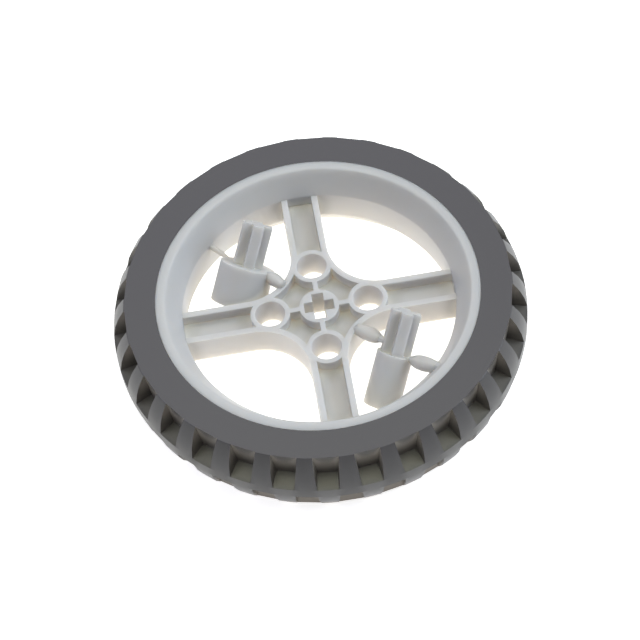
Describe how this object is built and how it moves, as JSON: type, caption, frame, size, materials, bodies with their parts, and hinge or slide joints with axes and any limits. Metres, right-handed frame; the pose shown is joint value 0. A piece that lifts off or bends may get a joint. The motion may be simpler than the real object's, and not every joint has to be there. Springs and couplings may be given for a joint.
{
  "type": "robot car wheel",
  "caption": "Small robot car wheel: lugged rubber tyre on a pale spoked plastic moulding with a cross axle hole, pin holes and snap-off shaft adapters.",
  "frame": {"origin": "middle of the cross axle hole, halfway through the wheel's width", "axes": "+Z along the axle, towards the side that shows the adapter stubs; +X along one spoke"},
  "size_m": [0.067, 0.067, 0.0161],
  "materials": {
    "rubber": "satin",
    "plastic": "satin"
  },
  "bodies": {
    "root": {"tyre": "rubber", "wheel": "plastic"}
  },
  "joints": []
}
